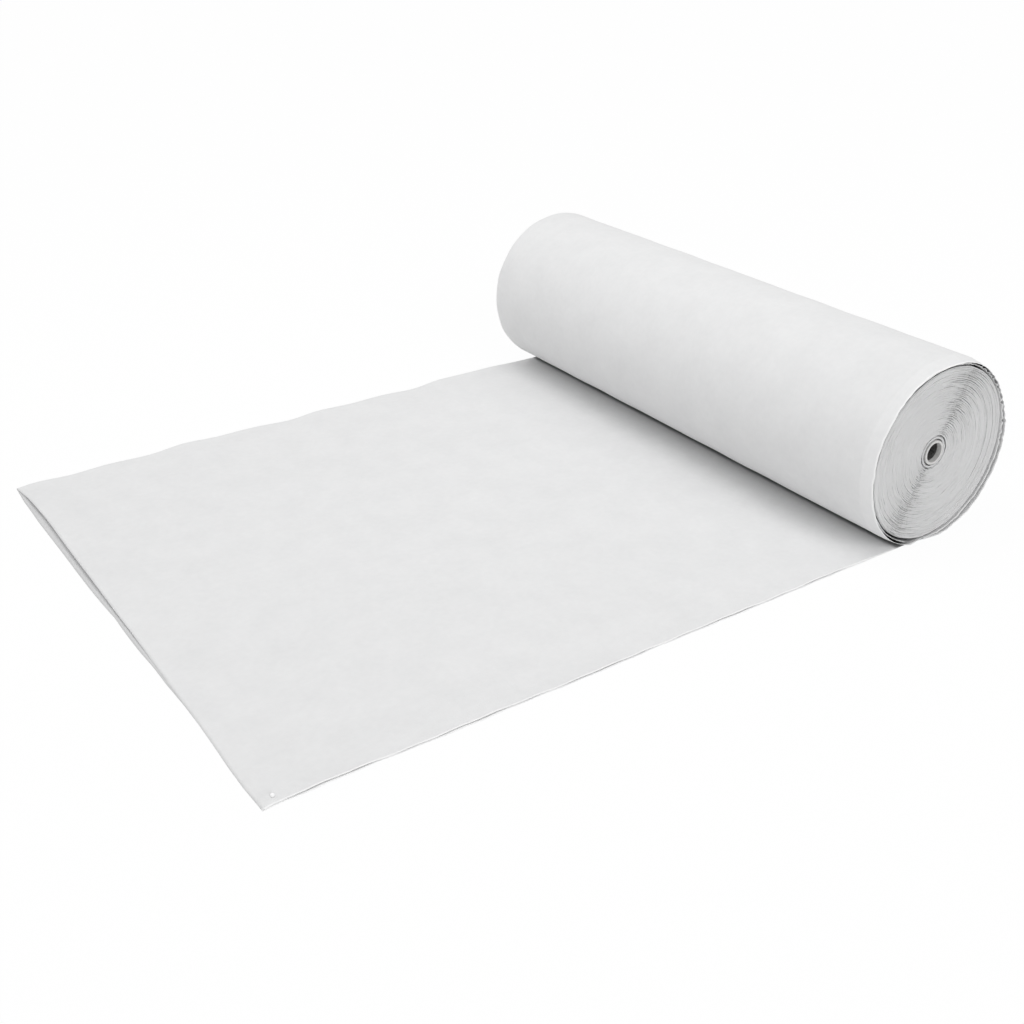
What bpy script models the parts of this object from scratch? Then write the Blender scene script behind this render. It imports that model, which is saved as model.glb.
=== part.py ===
"""Roll of frost protection fleece with its first stretch laid out.

Frame: the floor is z = 0, the roll's axle runs along Y above the origin, the fleece is
laid out towards -X, its fold runs along the +Y edge and its two selvedges along -Y.
"""

import math

import bmesh
import bpy
from mathutils import Vector

# Driving dimensions, in metres.
FOLDED_WIDTH = 0.800          # a 1.6 m web, folded once along its length
LAID_LENGTH = 0.909           # from under the axle to the upper ply's free edge
ROLL_RADIUS = 0.1125          # of the tightly wound part
BORE_RADIUS = 0.0127          # a one inch core
TUBE_WALL = 0.0033

# Fleece.
PLY = 0.0005                  # thickness of one ply
PLY_GAP = 0.0007              # between two plies that lie together
SEAT_GAP = 0.0003             # between pieces that touch

# Core.
TUBE_PROUD = 0.0015           # past the wound fleece, at each end
TUBE_SIDES = 48
TAPE_THICKNESS = 0.0003
TAPE_WIDTH = 0.022            # round the tube
TAPE_SETBACK = 0.020          # from each edge of the fleece
TAPE_STEPS = 8

# Wound part: one band in a spiral, drawn with fewer and thicker turns than the fleece has.
TURNS = 24
TURN_POINTS = 24
TURN_GAP = 0.0005
TAIL_THICKNESS = 0.0008       # where the band ends on the outside

# Loose turn, from the floor up behind the roll, over it and down, until it tucks in.
LOOSENESS = 0.0097            # from the wound part out to the middle of the outer ply
TURN_STEPS = 72               # per full turn
JOIN_BACK = 0.030             # from the axle back to where the laid stretch ends
PASS_GAP = 0.0018             # over its own start, where it tucks in
TUCK_SPREAD = 0.0010          # how far its plies open there
LEAN = 0.0014                 # how far it sags outwards at the near end
LEAN_ANGLE = math.radians(326)
INNER_CLEARANCE = 0.00135     # least, from the inner ply to the wound part
LIP = 0.005                   # how far its selvedges stand past the wound part
FLOOR_BLEND = 0.002           # height over which the turn lifts off the floor
OPEN_START, OPEN_FULL = math.radians(10), math.radians(65)
CLOSE_START, CLOSE_FULL = math.radians(280), math.radians(350)
FOLD_STEPS = 4

# Laid stretch.
LOWER_PROUD = 0.0085          # how far the lower ply shows past the upper one
EDGE_LIFT = 0.0035            # how far the upper ply lifts off it
LIFT_REACH = 0.070            # back from the free edge
REACH_SHARES = (0.0, 0.35, 0.65, 0.85)
WIDTH_SHARES = (0.0, 0.05, 0.10, 0.18, 0.26, 0.34, 0.44, 0.56, 0.68, 0.84)
CORNER_SHARE, SHOWS_SHARE, MEETS_SHARE = 0.10, 0.30, 0.66

# Tag pin through both plies at the near free corner.
PIN_FROM_END = 0.018
PIN_FROM_SELVEDGE = 0.011
PIN_HEAD_RADIUS = 0.00235
PIN_HEAD_HEIGHT = 0.0014
PIN_SHANK_RADIUS = 0.0007
PIN_FLANGE_RADIUS = 0.0023
PIN_FLANGE_THICKNESS = 0.0006
PIN_SHOULDER = 0.0012         # the fleece lies level this far round the flange
PIN_SLOPE = 0.005             # and comes down to the floor over this
PIN_STEPS = 16
DOME_STEPS = 5
CUT_OVERRUN = 0.002

HALF_WIDTH = FOLDED_WIDTH / 2
PLY_SPACING = PLY + PLY_GAP
LOWER_LEVEL = PLY / 2
UPPER_LEVEL = LOWER_LEVEL + PLY_SPACING
SECOND_LEVEL = UPPER_LEVEL + PLY + PASS_GAP
TUCKED_LEVEL = SECOND_LEVEL + PLY_SPACING + TUCK_SPREAD
AXLE_HEIGHT = TUCKED_LEVEL + PLY / 2 + SEAT_GAP + ROLL_RADIUS
LOOSE_RADIUS = ROLL_RADIUS + LOOSENESS
SPREAD = LOOSENESS - LEAN - PLY_SPACING - PLY / 2 - INNER_CLEARANCE
TUBE_RADIUS = BORE_RADIUS + TUBE_WALL
TAPE_RADIUS = TUBE_RADIUS + SEAT_GAP + TAPE_THICKNESS / 2
FIRST_RADIUS = (TAPE_RADIUS + TAPE_THICKNESS / 2 + SEAT_GAP) / math.cos(math.pi / TURN_POINTS)
PITCH = (ROLL_RADIUS - TAIL_THICKNESS - FIRST_RADIUS) / TURNS
TAIL_ANGLE = math.tau / TURN_POINTS
PIN_X = PIN_FROM_END - LAID_LENGTH
PIN_Y = PIN_FROM_SELVEDGE - HALF_WIDTH
PIN_RISE = PIN_FLANGE_THICKNESS + SEAT_GAP
PIN_LEVEL_RADIUS = PIN_FLANGE_RADIUS + PIN_SHOULDER
PIN_RISE_RADIUS = PIN_LEVEL_RADIUS * math.sqrt(2) + PIN_SLOPE


def smoothstep(low, high, value):
    """0 below low, 1 above high, and smooth between them."""
    share = min(max((value - low) / (high - low), 0.0), 1.0)
    return share * share * (3 - 2 * share)


def smooth_floor(height, level):
    """The height, held up at a level with a rounded bend instead of a crease."""
    bend = max(FLOOR_BLEND - abs(height - level), 0.0) / FLOOR_BLEND
    return max(height, level) + bend * bend * FLOOR_BLEND / 4


def clear_scene():
    for thing in list(bpy.data.objects):
        bpy.data.objects.remove(thing, do_unlink=True)


def make_collection(name):
    collection = bpy.data.collections.new(name)
    bpy.context.scene.collection.children.link(collection)
    return collection


def make_material(name, colour, roughness):
    material = bpy.data.materials.new(name)
    material.use_nodes = True
    shader = material.node_tree.nodes["Principled BSDF"]
    shader.inputs["Base Color"].default_value = (*colour, 1.0)
    shader.inputs["Roughness"].default_value = roughness
    shader.inputs["Metallic"].default_value = 0.0
    return material


def add_object(name, data, material, collection, parent=None):
    piece = bpy.data.objects.new(name, data)
    if data is not None and material is not None:
        data.materials.append(material)
    collection.objects.link(piece)
    piece.parent = parent
    return piece


def turned_mesh(name, outline, closed):
    """A profile of (radius, height) points, for a Screw modifier to turn."""
    work = bmesh.new()
    points = [work.verts.new((radius, 0, height)) for radius, height in outline]
    for start, end in zip(points, points[1:]):
        work.edges.new((start, end))
    if closed:
        work.edges.new((points[-1], points[0]))
    mesh = bpy.data.meshes.new(name)
    work.to_mesh(mesh)
    work.free()
    return mesh


def add_screw(piece, steps):
    screw = piece.modifiers.new("turn", "SCREW")
    screw.axis = "Z"
    screw.steps = steps
    screw.render_steps = steps
    screw.use_merge_vertices = True
    screw.merge_threshold = SEAT_GAP / 10
    screw.use_smooth_shade = True


def sheet_mesh(name, rows):
    """An open sheet through rows of points, each row as long as the others."""
    work = bmesh.new()
    grid = [[work.verts.new(point) for point in row] for row in rows]
    for row, following in zip(grid, grid[1:]):
        for left in range(len(row) - 1):
            work.faces.new((row[left], row[left + 1], following[left + 1], following[left]))
    mesh = bpy.data.meshes.new(name)
    work.to_mesh(mesh)
    work.free()
    mesh.shade_smooth()
    return mesh


def add_thickness(piece, thickness):
    solidify = piece.modifiers.new("thickness", "SOLIDIFY")
    solidify.thickness = thickness
    solidify.offset = 0
    solidify.use_even_offset = True


def fold_bead(below, above):
    """Points round the fold, from the lower ply's edge to the upper ply's."""
    middle, half = (below + above) / 2, (below - above) / 2
    bead = []
    for step in range(1, FOLD_STEPS):
        turn = math.pi * step / FOLD_STEPS
        outwards = Vector((0, half.length * math.sin(turn), 0))
        bead.append(middle + half * math.cos(turn) + outwards)
    return bead


def round_pin(middle, whole):
    """Stops across the rise over the pin, as shares of a whole length."""
    steps = (-PIN_RISE_RADIUS, -PIN_LEVEL_RADIUS, 0, PIN_LEVEL_RADIUS, PIN_RISE_RADIUS)
    return [(middle + step) / whole for step in steps]


def in_order(shares):
    return sorted({0.0, 1.0, *(share for share in shares if 0 < share < 1)})


def make_core_tube(material, collection, parent):
    half_length = HALF_WIDTH + TUBE_PROUD
    outline = [
        (TUBE_RADIUS, half_length),
        (TUBE_RADIUS, -half_length),
        (BORE_RADIUS, -half_length),
        (BORE_RADIUS, half_length),
    ]
    mesh = turned_mesh("core_tube", outline, closed=True)
    tube = add_object("core_tube", mesh, material, collection, parent)
    tube.rotation_euler.x = math.pi / 2
    add_screw(tube, TUBE_SIDES)
    return tube


def make_core_tape(material, collection, parent):
    """A strip of tape along the tube, under the first turn, that holds the web's start."""
    span = TAPE_WIDTH / TAPE_RADIUS
    half_length = HALF_WIDTH - TAPE_SETBACK
    rows = []
    for step in range(TAPE_STEPS + 1):
        angle = TAIL_ANGLE - span * step / TAPE_STEPS
        x, z = TAPE_RADIUS * math.sin(angle), -TAPE_RADIUS * math.cos(angle)
        rows.append([(x, -half_length, z), (x, half_length, z)])
    tape = add_object("core_tape", sheet_mesh("core_tape", rows), material, collection, parent)
    add_thickness(tape, TAPE_THICKNESS)
    return tape


def spiral_sides():
    """Radii and angles of the band's outer and inner side, from its tail to the tube."""
    steps = TURNS * TURN_POINTS
    outer, inner = [], []
    for step in range(steps + 1):
        turns = step / TURN_POINTS
        inner_radius = ROLL_RADIUS - TAIL_THICKNESS - PITCH * turns
        if turns < 1:
            outer_radius = ROLL_RADIUS
        else:
            outer_radius = inner_radius + PITCH - TURN_GAP
        angle = TAIL_ANGLE + math.tau * turns
        outer.append(Vector((outer_radius * math.sin(angle), outer_radius * math.cos(angle))))
        inner.append(Vector((inner_radius * math.sin(angle), inner_radius * math.cos(angle))))
    return outer, inner


def distance_to_run(point, start, end):
    run = end - start
    share = min(max((point - start).dot(run) / run.length_squared, 0.0), 1.0)
    return (point - start - run * share).length


def least_turn_gap(outer, inner):
    """Least distance between the band's inner side and the turn that lies under it."""
    least = PITCH
    for step in range(len(inner) - TURN_POINTS):
        under = step + TURN_POINTS
        for start in range(under - 2, min(under + 2, len(outer) - 1)):
            least = min(least, distance_to_run(inner[step], outer[start], outer[start + 1]))
        for start in range(max(step - 2, 0), step + 2):
            least = min(least, distance_to_run(outer[under], inner[start], inner[start + 1]))
    return least


def make_wound_fleece(material, collection, parent):
    outer, inner = spiral_sides()
    print("wound_fleece: %d turns, pitch %.2f mm, least gap %.2f mm"
          % (TURNS, PITCH * 1000, least_turn_gap(outer, inner) * 1000))
    curve = bpy.data.curves.new("wound_fleece", "CURVE")
    curve.dimensions = "2D"
    curve.fill_mode = "BOTH"
    curve.extrude = HALF_WIDTH
    outline = curve.splines.new("POLY")
    points = outer + inner[::-1]
    outline.points.add(len(points) - 1)
    for slot, point in zip(outline.points, points):
        slot.co = (point.x, -point.y, 0, 1)
    outline.use_cyclic_u = True
    roll = add_object("wound_fleece", curve, material, collection, parent)
    roll.rotation_euler.x = math.pi / 2
    return roll


def loose_amount(angle):
    """0 where the loose turn lies flat under the roll, 1 where its plies stand open."""
    return (smoothstep(OPEN_START, OPEN_FULL, angle)
            - smoothstep(CLOSE_START, CLOSE_FULL, angle))


def loose_ply(angle, share, is_upper):
    """A point of the loose turn, at an angle from the foot and a share of the width."""
    near = share * 2 - 1
    radius = LOOSE_RADIUS + LEAN * near * math.cos(angle - LEAN_ANGLE)
    level = LOWER_LEVEL if angle < math.pi else SECOND_LEVEL
    if is_upper:
        radius -= PLY_SPACING + SPREAD * share * loose_amount(angle)
        level = UPPER_LEVEL if angle < math.pi else TUCKED_LEVEL
    fold_y = HALF_WIDTH - PLY_SPACING / 2
    y = fold_y - share * (fold_y + HALF_WIDTH + LIP * loose_amount(angle))
    if angle < 0:
        return Vector((LOOSE_RADIUS * math.sin(angle), y, level))
    height = AXLE_HEIGHT - radius * math.cos(angle)
    return Vector((radius * math.sin(angle), y, smooth_floor(height, level)))


def make_outer_turn(material, collection, parent):
    start = math.asin((SEAT_GAP - JOIN_BACK) / LOOSE_RADIUS)
    end = math.tau + TAIL_ANGLE / 2
    steps = round(TURN_STEPS * (end - start) / math.tau)
    rows = []
    for step in range(steps + 1):
        angle = start + (end - start) * step / steps
        lower = [loose_ply(angle, share, False) for share in (1.0, 0.0)]
        upper = [loose_ply(angle, share, True) for share in (0.0, 1.0)]
        rows.append([*lower, *fold_bead(lower[-1], upper[0]), *upper])
    turn = add_object("outer_turn", sheet_mesh("outer_turn", rows), material, collection, parent)
    add_thickness(turn, PLY)
    return turn


def laid_ply(reach, share, is_upper):
    """A point of the laid stretch, at shares of its reach and of its width."""
    run = LAID_LENGTH - JOIN_BACK
    shows = 1 - smoothstep(SHOWS_SHARE, MEETS_SHARE, share)
    corner = 1 - smoothstep(0.0, CORNER_SHARE, share)
    proud = LOWER_PROUD * (corner if is_upper else shows)
    x = -JOIN_BACK - reach * (run + proud)
    fold_y = HALF_WIDTH - PLY_SPACING / 2
    y = fold_y - share * (fold_y + HALF_WIDTH)
    z = LOWER_LEVEL
    if is_upper:
        lifted = 1 - smoothstep(0.0, LIFT_REACH, (1 - reach) * run)
        z = UPPER_LEVEL + EDGE_LIFT * lifted * shows * (1 - corner)
    from_pin = math.hypot(x - PIN_X, y - PIN_Y)
    level_radius = PIN_RISE_RADIUS - PIN_SLOPE
    z += PIN_RISE * (1 - smoothstep(level_radius, PIN_RISE_RADIUS, from_pin))
    return Vector((x, y, z))


def make_pin_hole_cutter(cutters):
    work = bmesh.new()
    radius = PIN_SHANK_RADIUS + SEAT_GAP
    top = UPPER_LEVEL + PIN_RISE + CUT_OVERRUN
    bmesh.ops.create_cone(work, cap_ends=True, segments=PIN_STEPS,
                          radius1=radius, radius2=radius, depth=top + CUT_OVERRUN)
    mesh = bpy.data.meshes.new("pin_hole_cutter")
    work.to_mesh(mesh)
    work.free()
    cutter = add_object("pin_hole_cutter", mesh, None, cutters)
    cutter.location = (PIN_X, PIN_Y, (top - CUT_OVERRUN) / 2)
    cutter.hide_render = True
    cutter.display_type = "WIRE"
    return cutter


def make_laid_fleece(material, collection, cutters):
    run = LAID_LENGTH - JOIN_BACK
    lip_stops = [1 - LIFT_REACH / run, 1 - (LIFT_REACH + PIN_FROM_END) / 2 / run]
    reaches = in_order([*REACH_SHARES, *lip_stops, *round_pin(run - PIN_FROM_END, run)])
    shares = in_order([*WIDTH_SHARES,
                       *round_pin(FOLDED_WIDTH - PIN_FROM_SELVEDGE, FOLDED_WIDTH)])
    rows = []
    for reach in reversed(reaches):
        lower = [laid_ply(reach, share, False) for share in reversed(shares)]
        upper = [laid_ply(reach, share, True) for share in shares]
        rows.append([*lower, *fold_bead(lower[-1], upper[0]), *upper])
    sheet = add_object("laid_fleece", sheet_mesh("laid_fleece", rows), material, collection)
    add_thickness(sheet, PLY)
    hole = sheet.modifiers.new("pin_hole", "BOOLEAN")
    hole.operation = "DIFFERENCE"
    hole.object = make_pin_hole_cutter(cutters)
    return sheet


def make_corner_pin(material, collection):
    """A push-through pin: a domed head on the upper ply, and a flange under the lower one."""
    head_foot = UPPER_LEVEL + PLY / 2 + PIN_RISE + SEAT_GAP
    outline = []
    for step in range(DOME_STEPS + 1):
        angle = math.pi / 2 * step / DOME_STEPS
        outline.append((PIN_HEAD_RADIUS * math.sin(angle),
                        head_foot + PIN_HEAD_HEIGHT * math.cos(angle)))
    outline += [
        (PIN_SHANK_RADIUS, head_foot),
        (PIN_SHANK_RADIUS, PIN_FLANGE_THICKNESS),
        (PIN_FLANGE_RADIUS, PIN_FLANGE_THICKNESS),
        (PIN_FLANGE_RADIUS, 0),
        (0, 0),
    ]
    pin = add_object("corner_pin", turned_mesh("corner_pin", outline, closed=False),
                     material, collection)
    pin.location = (PIN_X, PIN_Y, 0)
    add_screw(pin, PIN_STEPS)
    return pin


def main():
    clear_scene()
    parts = make_collection("frost_fleece_roll")
    cutters = make_collection("cutters")
    fleece = make_material("white_fleece", (0.80, 0.80, 0.80), 0.95)
    card = make_material("white_core", (0.72, 0.72, 0.70), 0.70)
    tape = make_material("paper_tape", (0.70, 0.66, 0.56), 0.60)
    plastic = make_material("white_plastic", (0.85, 0.85, 0.85), 0.35)

    travel = add_object("roll_travel", None, None, parts)
    axle = add_object("roll_axle", None, None, parts, travel)
    axle.location.z = AXLE_HEIGHT

    make_core_tube(card, parts, axle)
    make_core_tape(tape, parts, axle)
    make_wound_fleece(fleece, parts, axle)
    make_outer_turn(fleece, parts, travel)
    make_laid_fleece(fleece, parts, cutters)
    make_corner_pin(plastic, parts)


main()
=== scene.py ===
# %% [markdown]
# # A roll of frost protection fleece
# The real thing is a web of white spunbond fleece, 1.6 m wide. It is folded once along its
# length and wound on a one inch core, and its first stretch is laid out on the floor.
#
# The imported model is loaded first, as a fixed frame: it says where each piece sits and which
# body carries it. Its own box is kept, so the finished pieces can be held against it.

# %% Load the frame
import math

import bpy
import numpy as np
from mathutils import Matrix, Vector


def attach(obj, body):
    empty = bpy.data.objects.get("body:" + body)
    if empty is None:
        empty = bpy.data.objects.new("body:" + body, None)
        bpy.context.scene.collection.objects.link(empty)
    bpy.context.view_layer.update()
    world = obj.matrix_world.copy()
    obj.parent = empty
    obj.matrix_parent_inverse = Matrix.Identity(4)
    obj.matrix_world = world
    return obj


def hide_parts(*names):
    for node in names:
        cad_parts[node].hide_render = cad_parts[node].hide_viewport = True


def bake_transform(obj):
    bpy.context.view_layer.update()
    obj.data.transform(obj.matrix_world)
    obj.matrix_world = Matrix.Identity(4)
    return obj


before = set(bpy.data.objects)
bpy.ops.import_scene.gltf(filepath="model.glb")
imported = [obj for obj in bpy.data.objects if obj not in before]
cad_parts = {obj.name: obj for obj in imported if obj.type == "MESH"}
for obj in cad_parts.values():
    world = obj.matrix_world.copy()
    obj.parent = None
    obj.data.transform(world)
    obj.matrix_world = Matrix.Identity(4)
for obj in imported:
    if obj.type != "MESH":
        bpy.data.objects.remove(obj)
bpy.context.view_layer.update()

scene = bpy.context.scene

# %% [markdown]
# ## The camera
# A camera is made of a place, a direction and a lens. These three came from a fit to the
# corners and rims that the photograph shows. It stands to the left of the near end, looks
# down by 28 degrees, and is turned a little about its own line of sight.

# %% Camera
CAMERA_PLACE = (-1.21468, -1.28891, 0.80078)
HEADING, DOWNWARD, TURNED = -33.53, 28.207, -0.589
LENS_MM, SENSOR_MM = 44.84, 36


def put(name, data):
    """A new object with that data, linked to the scene."""
    made = bpy.data.objects.new(name, data)
    scene.collection.objects.link(made)
    return made


def make_camera():
    lens = bpy.data.cameras.new("studio_camera")
    lens.lens, lens.sensor_width = LENS_MM, SENSOR_MM
    camera = put("studio_camera", lens)
    heading = Matrix.Rotation(math.radians(HEADING), 4, "Z")
    tilt = Matrix.Rotation(math.radians(90 - DOWNWARD), 4, "X")
    roll = Matrix.Rotation(math.radians(TURNED), 4, "Z")
    camera.matrix_world = Matrix.Translation(CAMERA_PLACE) @ heading @ tilt @ roll
    return camera


scene.camera = make_camera()
print("camera: %.1f mm lens, %.2f m above the floor" % (LENS_MM, CAMERA_PLACE[2]))

# %% [markdown]
# ## Node trees as sums
# A finish or a rule of shape is easiest to read as a formula. So one small class wraps a
# socket, and the signs between two of them add Math nodes. Every other node comes from one
# method, which takes its type, its settings, and what goes into its sockets.

# %% Sockets and trees
class Value:
    """One output of a node. Sums written with it add Math nodes to its tree."""

    def __init__(self, tree, socket):
        self.tree, self.socket = tree, socket

    def output(self, name):
        return Value(self.tree, self.socket.node.outputs[name])

    def maths(self, operation, *values):
        return self.tree.node("ShaderNodeMath", {"operation": operation}, dict(enumerate(values)))

    def __add__(self, other):
        return self.maths("ADD", self, other)

    def __sub__(self, other):
        return self.maths("SUBTRACT", self, other)

    def __rsub__(self, other):
        return self.maths("SUBTRACT", other, self)

    def __mul__(self, other):
        return self.maths("MULTIPLY", self, other)

    def __truediv__(self, other):
        return self.maths("DIVIDE", self, other)

    __radd__ = __add__
    __rmul__ = __mul__


class Tree:
    """Adds nodes to a shader tree or a geometry tree."""

    def __init__(self, node_tree):
        self.node_tree = node_tree

    def node(self, kind, settings=None, sockets=None):
        made = self.node_tree.nodes.new(kind)
        for name, setting in (settings or {}).items():
            setattr(made, name, setting)
        for name, value in (sockets or {}).items():
            if isinstance(value, Value):
                self.node_tree.links.new(value.socket, made.inputs[name])
            else:
                made.inputs[name].default_value = value
        return Value(self, made.outputs[0]) if made.outputs else made

    def vector_maths(self, operation, *values):
        return self.node("ShaderNodeVectorMath", {"operation": operation}, dict(enumerate(values)))

    def between(self, value, low, high, at_low=0.0, at_high=1.0):
        """at_low below low, at_high above high, and a smooth change from one to the other."""
        return self.node("ShaderNodeMapRange", {"interpolation_type": "SMOOTHSTEP"},
                         {0: value, 1: low, 2: high, 3: at_low, 4: at_high})


# %% [markdown]
# ## A plain start for every material
# Every finish is a Principled BSDF. What is the same all over a surface is set on the shader's
# own socket. What changes over it is linked: the colour, the roughness, and the height that the
# bump reads. Where a finish asks for painted shade, its colour goes over to one dark grey.

# %% Materials
# Painted shade: the dark grey that stands in for shade in gaps and crevices.
PAINTED_SHADE_GREY = (0.14, 0.14, 0.145)


def make_finish(name, same_all_over):
    material = bpy.data.materials.new(name)
    material.use_nodes = True
    tree = Tree(material.node_tree)
    shader = material.node_tree.nodes["Principled BSDF"]
    for socket, value in same_all_over.items():
        shader.inputs[socket].default_value = value
    return material, tree, shader


def shade(tree, shader, dark, light, amount, roughness, height, depth, dust=None):
    """Colour from dark to light by amount, and a bump of a height times a depth in metres."""
    colour = tree.node("ShaderNodeMix", {"data_type": "RGBA"},
                       {0: amount, 6: (*dark, 1), 7: (*light, 1)}).output(2)
    # Painted shade: where it is asked for, the colour is darkened towards that grey.
    if dust:
        colour = tree.node("ShaderNodeMix", {"data_type": "RGBA"},
                           {0: dust, 6: colour, 7: (*PAINTED_SHADE_GREY, 1)}).output(2)
    bump = tree.node("ShaderNodeBump", {}, {"Height": height, "Distance": depth, "Strength": 1.0})
    tree.node_tree.links.new(colour.socket, shader.inputs["Base Color"])
    tree.node_tree.links.new(roughness.socket, shader.inputs["Roughness"])
    tree.node_tree.links.new(bump.socket, shader.inputs["Normal"])


# %% [markdown]
# ## Spunbond fleece
# Fine white fibres are blown onto a belt and pressed together between two hot rollers, one of
# them with small raised points. So the web shows three things: a lattice of tiny pressed
# points, fibres that cross at random, and soft clouds where more or fewer fibres fell.
#
# All of them follow the web round the roll, so the finish reads an attribute named web, the
# place along and across it in metres. A cut edge is whiter: partly because it is a little
# denser, and partly as a painted highlight where the rim catches the light.
#
# The gaps between the plies of the real roll are almost black. Rendered white walls send more
# light into such gaps than that. So a second attribute says how deep a point lies, and the
# finish paints shade there: its colour is darkened.

# %% Fleece finish
WEB_WIDTH = 1.6
POINT_SPACING, POINT_EDGE = 0.0013, (0.16, 0.36)
FIBRE_SCALE = (90, 1700, 1)
CLOUD_SIZE, WISP_SIZE = 0.045, 0.009
CUT_EDGE = (0.0028, 0.0006)
THIN_FLEECE, DENSE_FLEECE = (0.755, 0.757, 0.760), (0.935, 0.935, 0.935)
FLEECE_DEPTH = 0.00012


def fibres(tree, web, direction):
    laid = tree.node("ShaderNodeMapping", {},
                     {"Vector": web, "Rotation": (0, 0, math.radians(direction)),
                      "Scale": FIBRE_SCALE})
    return tree.node("ShaderNodeTexNoise", {"noise_dimensions": "2D"},
                     {"Vector": laid, "Scale": 1.0, "Detail": 2.0, "Roughness": 0.6})


def clouds(tree, web, size, detail):
    return tree.node("ShaderNodeTexNoise", {"noise_dimensions": "2D"},
                     {"Vector": web, "Scale": 1 / size, "Detail": detail, "Roughness": 0.55})


def make_fleece():
    material, tree, shader = make_finish("spunbond_fleece", {
        "Sheen Weight": 0.08, "Sheen Roughness": 0.5, "Specular IOR Level": 0.25})
    web = tree.node("ShaderNodeAttribute", {"attribute_name": "web"}).output("Vector")
    lattice = tree.node("ShaderNodeMapping", {},
                        {"Vector": web, "Rotation": (0, 0, math.radians(45)),
                         "Scale": (1 / POINT_SPACING,) * 3})
    to_point = tree.node("ShaderNodeTexVoronoi", {"voronoi_dimensions": "2D"},
                         {"Vector": lattice, "Scale": 1.0, "Randomness": 0.0})
    point = tree.between(to_point, *POINT_EDGE, 1.0, 0.0)
    fibre = fibres(tree, web, 24) * 0.5 + fibres(tree, web, -31) * 0.5
    fall = clouds(tree, web, CLOUD_SIZE, 4.0) * 0.6 + clouds(tree, web, WISP_SIZE, 3.0) * 0.4
    across = tree.node("ShaderNodeSeparateXYZ", {}, {0: web}).output("Y")
    to_edge = across.maths("ABSOLUTE", across - WEB_WIDTH / 2)
    # The cut edge is whiter: partly denser fleece, partly a painted highlight on the rim.
    edge = tree.between(to_edge, WEB_WIDTH / 2 - CUT_EDGE[0], WEB_WIDTH / 2 - CUT_EDGE[1])
    # Painted shade, read from an attribute: the colour is darkened in gaps and crevices.
    dust = tree.node("ShaderNodeAttribute", {"attribute_name": "dust"}).output("Fac")
    whiteness = 0.22 + (fall - 0.5) * 0.55 + (fibre - 0.5) * 0.3 - point * 0.11 + edge * 0.8
    shade(tree, shader, THIN_FLEECE, DENSE_FLEECE, whiteness,
          0.93 - point * 0.22, fibre * 0.5 - point * 0.7 + fall * 0.8, FLEECE_DEPTH, dust)
    return material


fleece = make_fleece()
print("fleece:", len(fleece.node_tree.nodes), "nodes")

# %% [markdown]
# ## The folded web
# The laid stretch and the loose turn are the same web: two plies that meet in a fold. So one
# helper builds both, from the stations at which each ply is drawn.

# %% Stations
HALF_WIDTH = 0.4
PLY = 0.0003
FOLD_STEPS = 8


def smoothstep(low, high, value):
    share = np.clip((value - low) / (high - low), 0, 1)
    return share * share * (3 - 2 * share)


def stations(*spans):
    """Stops from spans of (start, end, step), each span in even steps."""
    stops = [spans[0][0]]
    for start, end, step in spans:
        count = max(round(abs(end - start) / step), 1)
        stops += list(np.linspace(start, end, count + 1)[1:])
    return np.array(stops)


print("web: %.2f m wide when folded, plies of %.1f mm" % (HALF_WIDTH * 2, PLY * 1000))

# %% [markdown]
# The stations are points of one surface, which the Solidify modifier then makes a ply thick.
# It lists all points of one side first and the other side's after them, so the painted shade
# can be written to each side.

# %% From stations to a mesh
def grid_mesh(name, points, web):
    """A sheet through a grid of points, with the place on the web stored at each point."""
    rows, columns = points.shape[:2]
    corner = (np.arange(rows - 1)[:, None] * columns + np.arange(columns - 1)).ravel()
    faces = np.stack([corner, corner + columns, corner + columns + 1, corner + 1], axis=1)
    mesh = bpy.data.meshes.new(name)
    mesh.from_pydata(points.reshape(-1, 3).tolist(), [], faces.tolist())
    mesh.shade_smooth()
    place = mesh.attributes.new("web", "FLOAT_VECTOR", "POINT")
    place.data.foreach_set("vector", web.reshape(-1).astype(np.float32))
    return mesh


def solid_copy(name, piece):
    """The piece with its modifiers applied, as one plain mesh at the origin."""
    bpy.context.view_layer.update()
    mesh = bpy.data.meshes.new_from_object(
        piece.evaluated_get(bpy.context.evaluated_depsgraph_get()))
    for material in piece.data.materials:
        if material.name not in mesh.materials:
            mesh.materials.append(material)
    old = piece.data
    piece.modifiers.clear()
    piece.data = mesh
    bpy.data.meshes.remove(old)
    mesh.name = name


def mark_painted_shade(piece, points, painted_shading, plies_end):
    """Writes the painted shade of a web's two sides: the given function of (points, plies_end)
    gives outside and inside.
    """
    spots = np.array([vertex.co for vertex in piece.data.vertices])
    count = len(spots) // 2
    sample = plies_end // 2
    outside_first = spots[sample, 2] < spots[sample + count, 2]
    outside, inside = painted_shading(points, plies_end)
    both = (outside, inside) if outside_first else (inside, outside)
    # The painted shade is stored as a point attribute.
    marks = piece.data.attributes.new("dust", "FLOAT", "POINT")
    marks.data.foreach_set("value", np.concatenate(both, axis=None).astype(np.float32))


# %% [markdown]
# The helper takes a function that says where each ply runs. It rounds the fold between the two
# with a small bead, and measures how far along the web each station lies, for the finish.

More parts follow.
